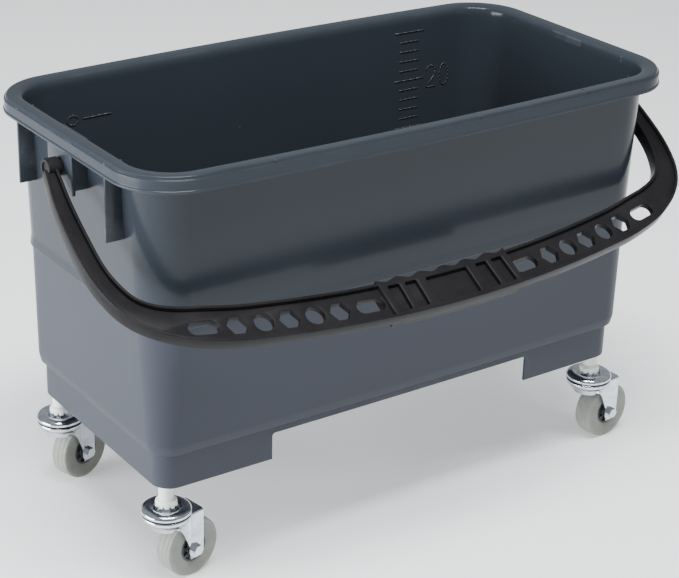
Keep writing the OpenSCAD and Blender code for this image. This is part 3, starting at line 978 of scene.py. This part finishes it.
def tyre_ring(around):
    """The tyre's section as (radius, y), at a place along the tread's length. Fine diagonal
    lines cross in the tread, between three grooves that run round it."""
    half, radius, hub = 8.5, WHEEL, 12.5
    rows = 26
    side_wall = [
        (hub, half - 0.6), (hub + 1.2, half), (radius - 3.6, half), (radius - 2.4, half),
        (radius - 1.3, half - 0.25), (radius - 0.5, half - 0.9),
    ]
    ring = [(r, -y) for r, y in side_wall]
    for k in range(rows + 1):
        y = -half + 1.5 + (2 * half - 3.0) * k / rows
        hatch = min(abs(((around + y) / 2.6) % 1 - 0.5), abs(((around - y) / 2.6) % 1 - 0.5))
        band = min(abs(abs(y) - 4.8), abs(y))
        groove = max(0.34 if hatch > 0.36 else 0.0, 0.4 if band < 0.3 else 0.0)
        crown = 0.25 * (y / half) ** 2
        ring.append((radius - crown - groove, y))
    return ring + side_wall[::-1]


def build_tyre(corner):
    sides = 240
    centre = Vector((TRAIL, 0, AXLE_Z))
    rings = []
    for i in range(sides):
        a = 2 * math.pi * i / sides
        section = tyre_ring(a * WHEEL)
        rings.append([centre + Vector((r * math.cos(a), y, r * math.sin(a))) for r, y in section])
    bm = bmesh.new()
    close_round(bm, rings)
    bmesh.ops.recalc_face_normals(bm, faces=bm.faces)
    # the side faces inside the tread's edge take the darker rubber copy: painted shade
    for f in bm.faces:
        c = f.calc_center_median()
        out = math.hypot(c.x - TRAIL, c.z - AXLE_Z)
        f.material_index = 1 if abs(f.normal.y) > 0.8 and out < WHEEL - 3.5 else 0
    body = f"wheel_{corner}"
    finish_castor(bm, "tyre_tread", corner, (RUBBER, SHADED_WHEEL_FACE), body, "tyre", 50)


def build_hub(corner):
    """Hub with a dished face, a collar round the axle and eight shallow webs."""
    face, dish, webs = 8.0, 1.8, 8
    near = [
        (4.06, face + 0.4), (6.0, face + 0.4), (6.4, face), (6.6, face - dish),
        (10.4, face - dish), (10.8, face - 0.1), (12.45, face),
    ]
    bm = bmesh.new()
    spun(bm, near + [(r, -h) for r, h in near[::-1]], (TRAIL, 0, AXLE_Z), (0, 1, 0), 64)
    for side in (-1, 1):
        middle = Matrix.Translation((TRAIL, side * (face - dish / 2 - 0.2), AXLE_Z))
        for k in range(webs):
            place = middle @ Matrix.Rotation(math.pi * k / (webs / 2) + 0.2, 4, "Y")
            placed_box(bm, (6.2, -dish / 2, -0.5), (10.9, dish / 2, 0.5), 0.2, place)
    bmesh.ops.recalc_face_normals(bm, faces=bm.faces)
    finish_castor(bm, "hub", corner, (HUB,), f"wheel_{corner}", "wheel_hub", 40)


def dress_carried(corner):
    """Softens the CAD pieces that carry over, by a bevel in millimetres, and gives materials."""
    carried = {
        "upper_balls": (BALL, "ball_steel", 0),
        "lower_washer": (ZINC, "zinc_steel", 0.2),
        "axle_bolt": (ZINC, "zinc_steel", 0.3),
        "axle_nut": (ZINC, "zinc_steel", 0.3),
        "axle_bush": (ZINC, "zinc_steel", 0.2),
    }
    for piece, (material, slot, bevel) in carried.items():
        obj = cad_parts[f"{piece}_{corner}"]
        obj.data.materials.clear()
        obj.data.materials.append(material)
        if bevel:
            soft = obj.modifiers.new("soft_edges", "BEVEL")
            soft.width = bevel * MM
            soft.segments = 2
            soft.limit_method = "ANGLE"
            soft.angle_limit = math.radians(40)


# ---- floor, light and camera ----


def build_stage():
    """A plain pale floor."""
    bm = bmesh.new()
    bmesh.ops.create_grid(bm, x_segments=2, y_segments=2, size=14)
    floor = link_new("floor", baked(bm, "floor"))
    s = Shader("pale_floor").set(Base_Color=(0.88, 0.88, 0.885), Roughness=0.7)
    s.set(Emission_Color=(1, 1, 1), Emission_Strength=0.35)
    floor.data.materials.append(s.material)


def area_light(name, place, size, power, colour):
    """A soft box that looks at the bucket's middle."""
    data = bpy.data.lights.new(name, "AREA")
    data.shape = "RECTANGLE"
    data.size, data.size_y = size
    data.energy = power
    data.color = colour
    obj = link_new(name, data)
    obj.location = place
    look = Vector((0, 0, 0.16)) - Vector(place)
    obj.rotation_euler = look.to_track_quat("-Z", "Y").to_euler()


def build_light():
    world = bpy.data.worlds.new("studio")
    bpy.context.scene.world = world
    world.use_nodes = True
    sky = world.node_tree.nodes["Background"]
    sky.inputs["Color"].default_value = (0.93, 0.96, 1.0, 1)
    sky.inputs["Strength"].default_value = 0.4
    area_light("left_softbox", (-1.9, 0.35, 0.35), (1.3, 0.6), 72, (0.93, 0.96, 1))
    area_light("front_softbox", (0.9, -2.4, 0.8), (1.6, 1.0), 3, (1, 0.985, 0.96))
    area_light("top_softbox", (-0.3, -0.6, 2.2), (1.4, 0.7), 100, (0.95, 0.98, 1))


def build_camera():
    """The photo's view: a long lens, shifted, as if the picture had been cropped."""
    data = bpy.data.cameras.new("camera")
    data.sensor_fit = "HORIZONTAL"
    data.sensor_width = 36.0
    data.lens = 98.99
    data.shift_x = 0.081
    data.shift_y = 0.0037
    data.clip_start, data.clip_end = 0.05, 60
    camera = link_new("camera", data)
    azimuth, elevation, roll = (math.radians(a) for a in (33.82, 24.59, 0.99))
    flat = math.cos(elevation)
    forward = Vector((math.sin(azimuth) * flat, math.cos(azimuth) * flat, -math.sin(elevation)))
    right = Vector((math.cos(azimuth), -math.sin(azimuth), 0))
    up = right.cross(forward)
    x = right * math.cos(roll) + up * math.sin(roll)
    y = up * math.cos(roll) - right * math.sin(roll)
    turn = Matrix((x, y, -forward)).transposed().to_4x4()
    camera.matrix_world = Matrix.Translation(TUB @ Vector((-844.5, -1183.7, 739.6))) @ turn
    bpy.context.scene.camera = camera


build_tub()
build_handle()
for corner in CORNERS:
    build_sleeve(corner)
    build_stem(corner)
    build_cup(corner)
    build_fork(corner)
    build_tyre(corner)
    build_hub(corner)
for corner in CORNERS:
    dress_carried(corner)
build_stage()
build_light()
build_camera()
